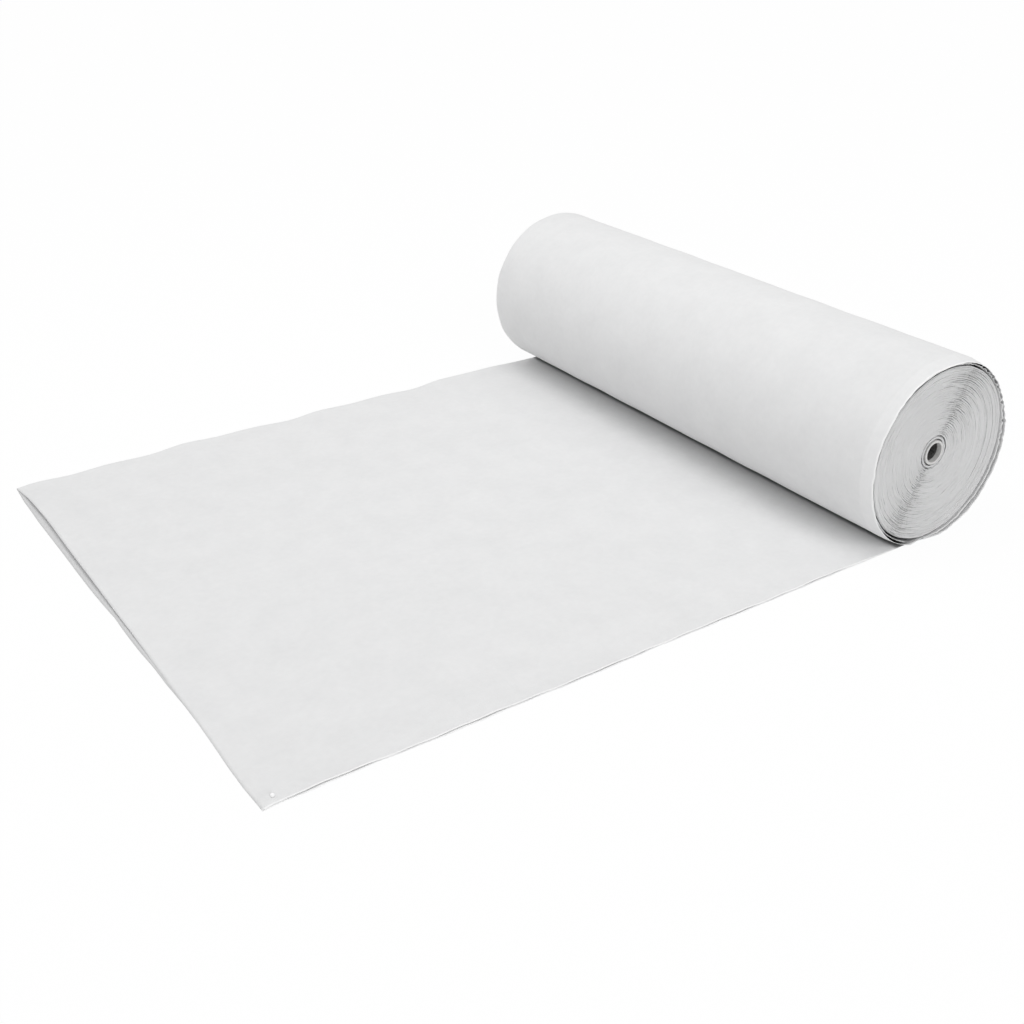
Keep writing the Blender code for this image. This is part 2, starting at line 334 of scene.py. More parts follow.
# %% Folded web
def folded_web(name, ply_at, along, shares, along_start, painted_shading):
    """ply_at(along, share, upper) gives points; share is 0 at the fold and 1 at the selvedge."""
    steps, widths = np.meshgrid(along, shares, indexing="ij")
    lower, upper = ply_at(steps, widths, 0), ply_at(steps, widths, 1)
    middle, half = (lower[:, :1] + upper[:, :1]) / 2, (lower[:, :1] - upper[:, :1]) / 2
    turn = (np.pi * np.arange(1, FOLD_STEPS) / FOLD_STEPS)[None, :, None]
    out = np.linalg.norm(half, axis=2, keepdims=True) * np.sin(turn)
    bead = middle + half * np.cos(turn) + out * np.array([0, 1.0, 0])
    points = np.concatenate([lower[:, ::-1], bead, upper], axis=1)
    across = np.concatenate([(1 - shares[::-1]) * HALF_WIDTH * 2,
                             np.full(FOLD_STEPS - 1, HALF_WIDTH * 2),
                             HALF_WIDTH * 2 * (1 + shares)])
    run = np.linalg.norm(np.diff(points[:, points.shape[1] // 4], axis=0), axis=1)
    length = along_start + np.concatenate([[0], np.cumsum(run)])
    web = np.zeros(points.shape)
    web[..., 0], web[..., 1] = length[:, None], across[None, :]
    piece = put(name, grid_mesh(name, points, web))
    piece.data.materials.append(fleece)
    thickness = piece.modifiers.new("ply", "SOLIDIFY")
    thickness.thickness, thickness.offset = PLY, 0
    print("%s: %.3f m of web, %d points" % (name, length[-1] - along_start, points.size // 3))
    solid_copy(name, piece)
    mark_painted_shade(piece, points, painted_shading, len(shares))
    return piece


# %% [markdown]
# ## Softness
# Cloth that lies on a floor is never flat: it keeps long low swells, and shorter ones where it
# was wound tighter. A sum of a few sine waves of different lengths and directions gives such
# swells, smooth and the same on every run.

# %% Swells
def swells(u, v, lengths, seed, heading=0.0, spread=math.pi):
    """Waves of those lengths over u and v, from about -1 to 1, within spread of a heading."""
    dice = np.random.default_rng(seed)
    total = 0
    for length in lengths:
        turn = dice.uniform(-spread, spread) + heading
        total = total + np.sin(math.tau * (u * math.cos(turn) + v * math.sin(turn)) / length
                               + dice.uniform(0, math.tau))
    return total / math.sqrt(len(lengths))


# %% [markdown]
# ## The laid stretch
# It lies on the floor from under the roll to its cut end. The upper ply ends a little short of
# the lower one, and lifts off it towards the fold, so that a strip of the lower ply shows. Its
# far edge, the fold, wavers by a few millimetres, and its two selvedges lie almost together.
#
# One function gives the place of every point, from how far along the web it is and how far from
# the fold. Written so, a sheet keeps an even grid, and each habit of the cloth is a term of its
# own: the swells of the ground, the lift at the end, and the dimple round the pin.

# %% Laid stretch
JOIN_X = -0.0298
LOWER_LEVEL, NIP_LEVEL, UPPER_LEVEL = 0.00025, 0.0006, 0.00145
FOLD_WAVER, NEAR_WAVER, UPPER_INSET = 0.0042, 0.0008, 0.0010
GROUND_SWELL, RIPPLE, UPPER_SWELL = 0.0011, 0.00025, 0.0004
END_LIFT, SELVEDGE_LIFT, SETTLED_DROP = 0.0034, 0.00025, 0.0008
PIN_X, PIN_Y, PIN_RAISE = -0.891, -0.389, 0.0009
FREE_END = np.array([
    # place across the web, and where the lower and the upper ply end
    (-0.40, -0.9063, -0.9060), (-0.36, -0.9082, -0.9080), (-0.32, -0.9081, -0.9079),
    (-0.28, -0.9070, -0.9068), (-0.24, -0.9064, -0.9062), (-0.20, -0.9070, -0.9066),
    (-0.16, -0.9089, -0.9067), (-0.12, -0.9094, -0.9066), (-0.08, -0.9115, -0.9067),
    (-0.04, -0.9122, -0.9070), (0.00, -0.9120, -0.9080), (0.04, -0.9146, -0.9086),
    (0.08, -0.9160, -0.9090), (0.12, -0.9164, -0.9092), (0.16, -0.9164, -0.9092),
    (0.20, -0.9169, -0.9093), (0.28, -0.9188, -0.9098), (0.36, -0.9184, -0.9125),
    (0.40, -0.9165, -0.9165)]).T


def laid_ply(reach, share, upper):
    """Reach is 0 at the roll and 1 at the free end."""
    level_y = HALF_WIDTH - share * 2 * HALF_WIDTH
    end_x = np.interp(level_y, FREE_END[0], FREE_END[2 if upper else 1])
    x = JOIN_X + reach * (end_x - JOIN_X)
    free = smoothstep(0.04, 0.16, JOIN_X - x)
    fold_waver = FOLD_WAVER * swells(x, 0, [0.55, 0.23, 0.11], 4, 0, 0.1)
    near_waver = NEAR_WAVER * swells(x, 0, [0.40, 0.17, 0.05], 9 + upper, 0, 0.1)
    inset = UPPER_INSET * upper * smoothstep(0.97, 1.0, share)
    y = level_y + free * (fold_waver * (1 - share) ** 3 + (near_waver + inset) * share ** 3)
    ground = 0.5 + 0.5 * swells(x, y, [0.34, 0.21, 0.15], 21)
    ripples = 0.5 + 0.5 * swells(x, y, [0.050, 0.036, 0.029], 33, math.radians(60), 0.35)
    front = smoothstep(0.30, 0.75, JOIN_X - x) * smoothstep(0.25, 0.8, share)
    from_end = x - end_x
    settled = (1 - smoothstep(0.0, 0.035, from_end)) * smoothstep(0.50, 0.72, share)
    z = LOWER_LEVEL + free * (GROUND_SWELL * ground + RIPPLE * ripples * front) * (1 - settled)
    if upper:
        lifted = (1 - smoothstep(0.0, 0.070, from_end)) * (1 - smoothstep(0.30, 0.66, share))
        apart = NIP_LEVEL + (UPPER_LEVEL - NIP_LEVEL) * smoothstep(0.035, 0.085, JOIN_X - x)
        apart = apart - SETTLED_DROP * settled
        z = z + apart - LOWER_LEVEL + END_LIFT * lifted * smoothstep(0.0, 0.10, share)
        swell = 0.5 + 0.5 * swells(x, y, [0.12, 0.07], 5)
        z = z + free * UPPER_SWELL * swell * (1 - settled)
        z = z + SELVEDGE_LIFT * smoothstep(0.992, 1.0, share) * free
    from_pin = np.hypot(x - PIN_X, y - PIN_Y)
    pressed = 1 - smoothstep(0.0045, 0.016, from_pin)
    under_pin = (UPPER_LEVEL if upper else LOWER_LEVEL) + PIN_RAISE
    return np.stack([x, y, z + pressed * (under_pin - z)], axis=-1)


# %% [markdown]
# Painted shade darkens the colour where light hardly reaches: in the narrow crevice where the
# roll comes down on the laid stretch, and between the plies. It starts a few millimetres inside
# the open edges, which keeps the cut edges white. The strip of the lower ply that shows past
# the upper one gets a little of it, towards the fold, for the shade under the lifted upper ply.

# %% Painted shade on the laid stretch
NIP_START, NIP_DEEP, NIP_SHADE = -0.0525, -0.0440, 0.75
PLY_SHADE, STRIP_SHADE = 0.6, 0.17


def nip_painted_shade(points):
    """Painted shade in the crevice, on the laid stretch and on the underside of the roll."""
    x, z = points[..., 0], points[..., 2]
    low = 1 - smoothstep(0.006, 0.010, z)
    return NIP_SHADE * low * smoothstep(NIP_START, NIP_DEEP, x) * (x < 0)


def laid_painted_shade(points, plies_end):
    """Painted shade: the crevice on the outside, and between the plies on the inside."""
    from_edge = np.minimum(points[..., 1] + HALF_WIDTH, points[..., 0] - FREE_END[2, 0] - 0.010)
    strip = STRIP_SHADE * smoothstep(-0.30, -0.20, points[..., 1])
    inside = np.maximum(PLY_SHADE * smoothstep(0.0015, 0.0070, from_edge), strip)
    return nip_painted_shade(points), inside


# %% [markdown]
# The stations lie closest where the shape turns most: at the fold, at the selvedges, and where
# the stretch runs in under the roll.

# %% Make the laid stretch
across_stops = stations((0, 0.01, 0.0025), (0.01, 0.06, 0.006), (0.06, 0.94, 0.0105),
                        (0.94, 0.975, 0.005), (0.975, 1.0, 0.0022))
along_stops = stations((0, 0.056, 0.0019), (0.056, 0.90, 0.0115), (0.90, 1.0, 0.005))
laid = folded_web("laid_stretch", laid_ply, along_stops, across_stops, 0.0, laid_painted_shade)

# %% [markdown]
# ## The loose turn
# The web leaves the floor behind the roll, runs over it, and comes down in front, where it
# tucks in under the roll. It is looser than the rest. The outer ply hangs off the roll, most at
# the lower left of the near end, and the inner ply runs between it and the wound part, so two
# dark gaps show there. Both selvedges stand past the wound part and waver.
#
# Two tables hold what the photograph shows of it: how far the outer ply sags where it comes
# down to the floor, and how the two rims run round the near end. The angle is measured at the
# axle, from the foot of the roll, up behind it and over the top. Tables and the function
# between take it in degrees.

# %% Run of the loose turn
AXLE_HEIGHT = 0.119
LOOSE_RADIUS = 0.1222
SECOND_LEVEL, SAG_LEVEL, TUCKED_LEVEL = 0.0012, 0.00345, 0.0046
SAG = np.array([
    # angle, and how far the outer ply stands off its round run, in mm
    (0, 0), (295, 0), (318, -0.7), (330, -0.8), (339.4, 1.5), (352, 1.5), (380, 0)]).T
RIM = np.array([
    # angle, and for the outer and the inner ply: radius and reach past the roll's end, in mm
    (0, 122.2, 5.0, 118.5, 3.5), (15, 121.5, 6.5, 117.5, 4.5), (30, 120.8, 8.5, 116.8, 5.5),
    (45, 120.5, 9.0, 116.5, 6.0), (60, 120.5, 9.0, 116.5, 6.2), (75, 120.7, 8.8, 116.7, 6.0),
    (90, 120.5, 8.0, 116.5, 5.5), (105, 120.0, 5.5, 116.0, 4.0), (120, 119.8, 2.8, 115.6, 2.3),
    (135, 119.5, 2.0, 115.4, 1.5), (150, 119.3, 2.0, 114.9, 1.5), (165, 117.0, 3.0, 114.4, 2.0),
    (180, 115.6, 5.0, 114.2, 2.5), (195, 118.2, 5.5, 114.6, 2.5), (210, 120.2, 6.0, 115.2, 2.5),
    (240, 118.2, 6.3, 115.2, 1.5), (270, 116.6, 6.3, 114.9, 1.5), (285, 116.2, 6.0, 114.9, 2.0),
    (300, 116.6, 5.5, 114.9, 3.0), (315, 118.7, 5.0, 115.6, 3.5), (330, 120.2, 4.5, 116.4, 3.5),
    (345, 121.5, 4.0, 118.0, 3.0), (360, 122.2, 4.0, 120.0, 2.5), (380, 122.2, 4.0, 120.5, 2.5)]).T


def smooth_floor(height, level, soft=0.001):
    """The height where it is above the level, and the level elsewhere, with a soft passage."""
    bend = np.clip(soft - np.abs(height - level), 0, None) / soft
    return np.maximum(height, level) + bend * bend * soft / 4


def between(starts, full, ends, gone, angle):
    """One over a stretch of angles and nothing outside it."""
    return smoothstep(starts, full, angle) * (1 - smoothstep(ends, gone, angle))


def rim_value(row, angle):
    """That row of the table at an angle, with its corners rounded off."""
    degrees = np.degrees(angle)
    near_by = [np.interp(degrees + step, RIM[0], RIM[row]) for step in (-9, -4.5, 0, 4.5, 9)]
    return sum(near_by) / (len(near_by) * 1000)


print("sag: %.1f to %.1f mm" % (SAG[1].min(), SAG[1].max()))

# %% [markdown]
# From a steady radius near the fold, each ply bends to its rim over the last 20 mm. The rim is
# wavy, and between about 75 and 180 degrees it is crinkled, as a crushed edge is. There the
# inner ply flares out towards the outer one, and only a beaded dark line is left of the gap.

# %% Loose turn
PLIES_APART, INNER_DROP = 0.0012, 0.0045
FOLD_INSET, FOLD_WAVE = 0.0006, 0.0006
SLACK, WRINKLE, WAVER = 0.0003, 0.00030, 0.0005
BEND, OVERBEND = 0.020, 1.35
OUTER_CRIMP, INNER_CRIMP, REACH_CRIMP = 0.0002, 0.0009, 0.0007
CRIMP_LENGTHS = [0.0070, 0.0095, 0.013]
FLARE, FLARE_WIDTH = 0.0014, 0.007


def loose_ply(angle, share, upper):
    """The angle is in radians. Share is 0 at the fold and 1 at the selvedge."""
    run = angle * LOOSE_RADIUS
    degrees = np.degrees(angle)
    opened = between(10, 65, 325, 356, degrees)
    crinkled = between(74, 97, 149, 178, degrees)
    standing = smoothstep(-0.22, 0.15, angle) * (1 - smoothstep(6.1, 6.35, angle))
    slack = swells(run, share * 0.8, [0.21, 0.13, 0.09], 51)
    radius = LOOSE_RADIUS + opened * SLACK * slack
    last = smoothstep(0.955, 1.0, share) * standing
    wrinkle = swells(run * 0.10, share * 0.8, [0.0098, 0.0071, 0.0054], 8, math.pi / 2, 0.12)
    radius = radius + last * WRINKLE * wrinkle
    bend = smoothstep(1 - BEND / (2 * HALF_WIDTH), 1.0 + BEND / (4 * HALF_WIDTH), share)
    bend = bend * OVERBEND
    waver = swells(run, 0, [0.060, 0.033, 0.019, 0.10], 15 + upper, 0, 0.1)
    crimp = swells(run, 0, CRIMP_LENGTHS, 77 + upper, 0, 0.1) * (0.15 + 0.75 * crinkled)
    at_rim = smoothstep(1 - FLARE_WIDTH / (2 * HALF_WIDTH), 1.0, share)
    flare = between(74, 97, 152, 184, degrees) * at_rim
    tucked = SECOND_LEVEL + (SAG_LEVEL - SECOND_LEVEL) * (1 - smoothstep(5.94, 6.06, angle))
    level = np.where(angle < math.pi, NIP_LEVEL if upper else LOWER_LEVEL,
                     TUCKED_LEVEL if upper else tucked)
    if upper:
        inner = LOOSE_RADIUS - PLIES_APART - INNER_DROP * standing * share ** 1.5
        radius = np.minimum(radius - PLIES_APART, inner + radius - LOOSE_RADIUS)
        rim_radius = rim_value(3, angle) + INNER_CRIMP * crimp + FLARE * flare
        reach = rim_value(4, angle)
    else:
        radius = radius + np.interp(degrees, *SAG) / 1000
        rim_radius = rim_value(1, angle) + OUTER_CRIMP * crimp
        reach = rim_value(2, angle)
    radius = radius + standing * bend * (rim_radius - radius)
    y = HALF_WIDTH - FOLD_INSET - share * (2 * HALF_WIDTH - FOLD_INSET)
    y = y - standing * share ** 8 * (reach + WAVER * waver + REACH_CRIMP * crimp)
    fold_wave = swells(run, 0, [0.09, 0.05], 3, 0, 0.1)
    y = y + opened * (1 - share) ** 8 * FOLD_WAVE * fold_wave
    height = smooth_floor(AXLE_HEIGHT - radius * np.cos(angle), level)
    flat = angle < 0
    x = np.where(flat, LOOSE_RADIUS, radius) * np.sin(angle)
    return np.stack([x, y, np.where(flat, level, height)], axis=-1)


# %% [markdown]
# The gaps at the near end get painted shade from a few millimetres in: between the plies, and
# between the inner ply and the wound part. The painted shade is paler where the rim is crinkled,
# and over the top and down the front, where the real roll shows only a thin dark line.

# %% Painted shade on the loose turn
def loose_painted_shade(points, plies_end):
    """Painted shade between the plies, where the inner ply faces the wound turns, and in the
    crevice.
    """
    angle = np.degrees(np.arctan2(points[..., 0], AXLE_HEIGHT - points[..., 2])) % 360
    crinkled = between(72, 92, 176, 200, angle)
    deep = smoothstep(-0.4012 + 0.0025 * crinkled, -0.3965 + 0.0030 * crinkled, points[..., 1])
    paler = 0.3 * crinkled + 0.45 * between(140, 160, 185, 200, angle)
    deep = deep * (1 - paler - 0.78 * between(188, 208, 278, 302, angle))
    inner_ply = np.arange(points.shape[1]) > plies_end + FOLD_STEPS - 2
    return np.maximum(deep * inner_ply, nip_painted_shade(points)), deep


# %% [markdown]
# Round the roll the stations lie closest where the rim is crinkled and where the ply sags.

# %% Make the loose turn
first_angle, last_angle = math.asin((JOIN_X - 0.0001) / LOOSE_RADIUS), math.radians(367.5)
loose_stops = stations((0, 0.01, 0.0025), (0.01, 0.06, 0.008), (0.06, 0.92, 0.026),
                       (0.92, 0.965, 0.0055), (0.965, 1.0, 0.0018))
loose_rows = stations((first_angle, 1.3, 0.034), (1.3, 3.0, 0.0165), (3.0, 5.6, 0.034),
                      (5.6, 6.13, 0.008), (6.13, last_angle, 0.021))
loose = folded_web("loose_turn", loose_ply, loose_rows, loose_stops, -0.05, loose_painted_shade)

# %% [markdown]
# ## The wound part
# About 50 m of the web are wound on the core in some 128 turns. That follows a rule, so
# Geometry Nodes make it: a unit circle of many rotations, each point pushed out to the radius
# that its turn has, and the web's own section swept along it.
#
# The section is a small closed outline: two plies, a rounded fold at one end, and a notch
# between the two selvedges at the other. The last few millimetres before the selvedges are
# thinner, because nothing presses them together there. Both tips are marked, so that the tree
# can let each turn end a little further in or out than the next. The sides of the selvedges are
# marked for painted shade a little way in, so the grooves between the turns look deep and dark.

# %% Section of the web
WEB_HALF, TIP_HALF = 0.00035, 0.00025


def helper_mesh(name, points, edges, marks=None):
    """A small object that the tree reads, and that is removed once the roll is wound."""
    mesh = bpy.data.meshes.new(name)
    mesh.from_pydata(points, edges, [])
    for mark, values in (marks or {}).items():
        mesh.attributes.new(mark, "FLOAT", "POINT").data.foreach_set("value", values)
    return put(name, mesh)


def make_web_section():
    half, tip = WEB_HALF, TIP_HALF
    outline = [
        # place across the turn and along the axle, which tip it is, and whether it gets painted
        # shade
        (tip, -0.4, 1, 0), (tip, -0.3993, 1, 0), (tip, -0.3984, 1, 1), (half, -0.389, 0, 0),
        (half, 0.3990, -1, 0), (0, 0.3998, -1, 0), (-half, 0.3990, -1, 0), (-half, -0.389, 0, 0),
        (-tip, -0.3984, 1, 1), (-tip, -0.3993, 1, 0), (-tip, -0.3999, 1, 0),
        (0, -0.3997, 1, 0)]
    count = len(outline)
    return helper_mesh("web_section", [(x, y, 0) for x, y, _, _ in outline],
                       [(step, (step + 1) % count) for step in range(count)],
                       {"tip": [float(row[2]) for row in outline],
                        "dust": [float(row[3]) for row in outline]})


web_section = make_web_section()
print("section: %d points, %.2f mm thick" % (len(web_section.data.vertices), WEB_HALF * 2000))

# %% [markdown]
# The turns lie evenly, but no two of them end alike. So each turn has a line in a table: how
# far its selvedges are bent inward or outward, and how far its selvedges and its fold are set
# back. Selvedges cling together in threes and fours, and each group leaves a groove before
# the next. The end as a whole is dished: it is deepest at the core, and its last turns stand
# out. Two places differ: a deep groove five turns from the core, and one faint ring further
# out. The table is a row of points, which the tree can sample like any mesh.

# %% Table of turns
TURNS = 128
FIRST_RADIUS, LAST_RADIUS = 0.01725, 0.1130
PITCH = (LAST_RADIUS - FIRST_RADIUS) / TURNS
CORE_GROUPS = (5, 2, 4, 3, 4)
GROOVE, GROOVE_DEPTH = slice(5, 7), 0.0040
RING, RING_DEPTH = 101, 0.0007
CORE_TURNS_OUT = 0.0004
DISH = np.array([
    # radius, and how far the selvedges are set back from the plain end, in mm
    (17, 3.5), (24, 3.2), (30, 2.6), (45, 1.1), (60, 0.2), (92, 0.0), (93.5, -0.9),
    (106, -1.6), (111, -3.2), (112, -3.0), (112.6, -1.4), (114, -1.0)]).T / 1000


def make_turn_table():
    dice = np.random.default_rng(12)
    turns = np.arange(TURNS + 3)
    bent, offsets = np.zeros(TURNS + 3), dice.normal(0, 0.00010, TURNS + 3)
    sizes = list(CORE_GROUPS)
    while sum(sizes) < TURNS - 4:
        sizes.append(int(dice.choice([3, 3, 4])))
    first = 0
    for size in sizes:
        group = slice(first, first + size)
        middle = first + (size - 1) / 2 + dice.uniform(-0.15, 0.15)
        packed = (turns[group] - middle) * TIP_HALF * dice.uniform(2.1, 2.4)
        bent[group] = packed - (turns[group] - middle) * PITCH
        offsets[group] += np.linspace(-1, 1, size) ** 2 * dice.uniform(0.0001, 0.0006)
        first += size
    offsets[GROOVE] += GROOVE_DEPTH
    offsets[RING] += RING_DEPTH
    bent[:CORE_GROUPS[0]] += CORE_TURNS_OUT
    back = np.interp(FIRST_RADIUS + turns * PITCH, *DISH) + offsets
    fold_back = dice.normal(0, 0.0003, TURNS + 3)
    print("turns: %d, in %d groups" % (TURNS, len(sizes)))
    return helper_mesh("turn_table", np.stack([bent, back, fold_back], axis=1).tolist(), [])


turn_table = make_turn_table()

# %% [markdown]
# The tree has an input for each size, and for the section, the table and the finish. Its first
# part lays the spiral in its own plane, where the web's section stands upright on it.

# %% Sweep along the spiral
def swept_web(tree, asked):
    """The section swept along the spiral, with the turn number kept at each point."""
    circle = tree.node("GeometryNodeCurveSpiral", {},
                       {"Resolution": asked.output("Points per turn"),
                        "Rotations": asked.output("Turns"), "Start Radius": 1.0,
                        "End Radius": 1.0, "Height": 0.0, "Reverse": True})
    turn = tree.node("GeometryNodeInputIndex") / asked.output("Points per turn")
    kept = tree.node("GeometryNodeStoreNamedAttribute", {"data_type": "FLOAT", "domain": "POINT"},
                     {"Geometry": circle, "Name": "turn", "Value": turn})
    radius = asked.output("First radius") + turn * asked.output("Pitch")
    placed = tree.vector_maths("MULTIPLY", tree.node("GeometryNodeInputPosition"),
                               tree.node("ShaderNodeCombineXYZ", {}, {0: radius, 1: radius}))
    spiral = tree.node("GeometryNodeSetPosition", {}, {"Geometry": kept, "Position": placed})
    upright = tree.node("GeometryNodeSetCurveNormal", {"mode": "Z_UP"}, {0: spiral})
    section = tree.node("GeometryNodeObjectInfo", {}, {"Object": asked.output("Section")})
    outline = tree.node("GeometryNodeMeshToCurve", {}, {"Mesh": section.output("Geometry")})
    return tree.node("GeometryNodeCurveToMesh", {},
                     {"Curve": upright, "Profile Curve": outline, "Fill Caps": True})


# %% [markdown]
# Its second part moves the ends of the web. No turn is set back evenly all round: on the side
# that the vector LEAN points at, every turn stands out a little further.

# %% Ragged ends
LEAN_SHARE, LEAN_ANGLE = 0.4, math.radians(60)
LEAN = (LEAN_SHARE * math.sin(LEAN_ANGLE), -LEAN_SHARE * math.cos(LEAN_ANGLE), 0)
NOISE_PER_TURN = 0.35


def table_row(tree, table, turn):
    """The table's row for a turn, with a smooth passage from each turn to the next."""
    def row(index):
        return tree.node("GeometryNodeSampleIndex", {"data_type": "FLOAT_VECTOR"},
                         {"Geometry": table, "Value": tree.node("GeometryNodeInputPosition"),
                          "Index": index})

    whole = turn.maths("FLOOR", turn)
    return tree.node("ShaderNodeMix", {"data_type": "VECTOR"},
                     {0: turn - whole, 4: row(whole), 5: row(whole + 1.0)}).output(1)


def drift(tree, round_axle, along, size, detail):
    """Noise round the roll and from turn to turn, from about -0.5 to 0.5."""
    spot = tree.vector_maths("MULTIPLY", round_axle, (size, size, 0))
    return tree.node("ShaderNodeTexNoise", {}, {
        "Vector": tree.vector_maths("ADD", spot, along), "Scale": 1.0, "Detail": detail}) - 0.5


def ragged_ends(tree, asked, web_roll):
    """Lets each turn end where the table says, and a little differently round the roll."""
    def stored(name):
        return tree.node("GeometryNodeInputNamedAttribute", {"data_type": "FLOAT"}, {"Name": name})

    turn, tip = stored("turn"), stored("tip")
    table = tree.node("GeometryNodeObjectInfo", {}, {"Object": asked.output("Turn table")})
    row = table_row(tree, table.output("Geometry"), turn)
    row = tree.node("ShaderNodeSeparateXYZ", {}, {0: row})
    bent, back, fold_back = row.output("X"), row.output("Y"), row.output("Z")
    round_axle = tree.vector_maths("NORMALIZE", tree.vector_maths(
        "MULTIPLY", tree.node("GeometryNodeInputPosition"), (1, 1, 0)))
    along = tree.node("ShaderNodeCombineXYZ", {}, {"Z": turn * NOISE_PER_TURN})
    fray = drift(tree, round_axle, along, 2, 3.0) * asked.output("Fray")
    towards = tree.vector_maths("DOT_PRODUCT", round_axle, LEAN)
    fray = fray + back.maths("MAXIMUM", back * -1.0, 0.0) * towards
    near = tip.maths("MAXIMUM", tip, 0.0)
    far = tip.maths("MINIMUM", tip, 0.0)
    along_axle = tree.node("ShaderNodeCombineXYZ", {}, {
        "Z": (fray - back) * near + (fray - fold_back) * far})
    curl = drift(tree, round_axle, along, 5, 2.0)
    bend = (bent + curl * asked.output("Curl")) * near
    outward = tree.vector_maths("MULTIPLY", round_axle,
                                tree.node("ShaderNodeCombineXYZ", {}, {0: bend, 1: bend}))
    return tree.node("GeometryNodeSetPosition", {}, {
        "Geometry": web_roll, "Offset": tree.vector_maths("ADD", along_axle, outward)}), turn


# %% [markdown]
# The whole tree joins the two, stores the place on the web for the finish, and turns the roll
# onto its axle last.

# %% Winding tree
WEB_PER_TURN = 0.4


def make_winding_tree(inputs):
    group = bpy.data.node_groups.new("winding", "GeometryNodeTree")
    group.interface.new_socket("Geometry", in_out="OUTPUT", socket_type="NodeSocketGeometry")
    for name, (kind, _) in inputs.items():
        group.interface.new_socket(name, in_out="INPUT", socket_type="NodeSocket" + kind)
    tree = Tree(group)
    asked = tree.node("NodeGroupInput")
    ragged, turn = ragged_ends(tree, asked, swept_web(tree, asked))
    place = tree.node("ShaderNodeSeparateXYZ", {}, {0: tree.node("GeometryNodeInputPosition")})
    web = tree.node("ShaderNodeCombineXYZ", {}, {
        "X": turn * WEB_PER_TURN, "Y": place.output("Z") + WEB_WIDTH / 4})
    kept = tree.node("GeometryNodeStoreNamedAttribute",
                     {"data_type": "FLOAT_VECTOR", "domain": "POINT"},
                     {"Geometry": ragged, "Name": "web", "Value": web})
    turned = tree.node("GeometryNodeTransform", {}, {
        "Geometry": kept, "Rotation": (math.pi / 2, 0, 0),
        "Translation": tree.node("ShaderNodeCombineXYZ", {}, {"Z": asked.output("Axle height")})})
    smooth = tree.node("GeometryNodeSetShadeSmooth", {}, {"Geometry": turned, "Shade Smooth": True})
    whole = tree.node("GeometryNodeRealizeInstances", {}, {"Geometry": smooth})
    finished = tree.node("GeometryNodeSetMaterial", {},
                         {"Geometry": whole, "Material": asked.output("Finish")})
    tree.node("NodeGroupOutput", {}, {0: finished})
    return group


# %% [markdown]
# The tree is put on an object whose own mesh is empty. Each size goes into the modifier by its
# socket's identifier, before anything reads the object. The result is then taken out as a
# plain mesh, and the section and the table are removed.

# %% Wind the roll
LAST_PART_TURN, POINTS_PER_TURN = 75 / 360, 60
FRAY, CURL = 0.0009, 0.0022


def wind_roll():
    inputs = {"Turns": ("Float", TURNS + LAST_PART_TURN),
              "Points per turn": ("Int", POINTS_PER_TURN),
              "First radius": ("Float", FIRST_RADIUS), "Pitch": ("Float", PITCH),
              "Axle height": ("Float", AXLE_HEIGHT), "Fray": ("Float", FRAY),
              "Curl": ("Float", CURL),
              "Section": ("Object", web_section), "Turn table": ("Object", turn_table),
              "Finish": ("Material", fleece)}
    roll = put("wound_web", bpy.data.meshes.new("wound_web"))
    winding = roll.modifiers.new("winding", "NODES")
    winding.node_group = make_winding_tree(inputs)
    for item in winding.node_group.interface.items_tree:
        if item.item_type == "SOCKET" and item.in_out == "INPUT":
            winding[item.identifier] = inputs[item.name][1]
    solid_copy("wound_web", roll)
    for helper in (web_section, turn_table):
        bpy.data.objects.remove(helper)
    return roll


wound = wind_roll()
spots = np.array([vertex.co for vertex in wound.data.vertices])
print("wound web: %d faces, from %s to %s"
      % (len(wound.data.polygons), spots.min(0).round(4), spots.max(0).round(4)))

# %% [markdown]
# ## The core
# A tube of spirally wound card stands a millimetre or so past the fleece. It is a turned
# shape, so a helper spins an outline round the axle. The rims are rounded, because cut card
# is soft, and a rounded rim catches the light.

# %% Turned pieces
def turned_piece(name, outline, steps, centre, axis_along_y):
    """Spins a closed outline of (radius, height) points; points of radius 0 become one pole."""
    points, rings, faces = [], [], []
    for radius, height in outline:
        ring = []
        for step in range(1 if radius == 0 else steps):
            turn = math.tau * step / steps
            spot = Vector((radius * math.cos(turn), radius * math.sin(turn), height))
            if axis_along_y:
                spot = Vector((spot.x, -spot.z, spot.y))
            ring.append(len(points))
            points.append(centre + spot)
        rings.append(ring * steps if radius == 0 else ring)
    closed = outline[0][0] != 0
    pairs = zip(rings, rings[1:] + rings[:1]) if closed else zip(rings, rings[1:])
    for ring, following in pairs:
        for step in range(steps):
            after = (step + 1) % steps
            corners = (ring[step], ring[after], following[after], following[step])
            faces.append(tuple(dict.fromkeys(corners)))
    mesh = bpy.data.meshes.new(name)
    mesh.from_pydata(points, [], faces)
    mesh.shade_smooth()
    return put(name, mesh)


def rounded(corners, radius, steps=4):
    """A closed outline with each of its corners rounded."""
    outline = []
    for place, corner in enumerate(corners):
        corner = Vector(corner)
        before = Vector(corners[place - 1]) - corner
        after = Vector(corners[(place + 1) % len(corners)]) - corner
        start, end = corner + before.normalized() * radius, corner + after.normalized() * radius
        for step in range(steps + 1):
            share = step / steps
            outline.append(tuple(start * (1 - share) ** 2 + corner * 2 * share * (1 - share)
                                 + end * share ** 2))
    return outline


# %% [markdown]
# Card is greyer and warmer than the fleece. It is mottled, a seam winds along the bore where
# two strips of card meet, and the cut end shows the layers as fine rings. Some 7 mm in, the
# bore has painted shade: its colour goes dark there, where hardly any light reaches.

# %% Core finish and tube
BORE_RADIUS, TUBE_RADIUS, TUBE_END, RIM_ROUNDING = 0.0127, 0.016, 0.3976, 0.0007
SEAM_PITCH, LAYER_SCALE = 0.062, 2600.0
# The dark end serves both the card's mottle and the bore's painted shade.
DARK_CARD_AND_BORE_SHADE, PALE_CARD = (0.045, 0.044, 0.042), (0.80, 0.795, 0.785)


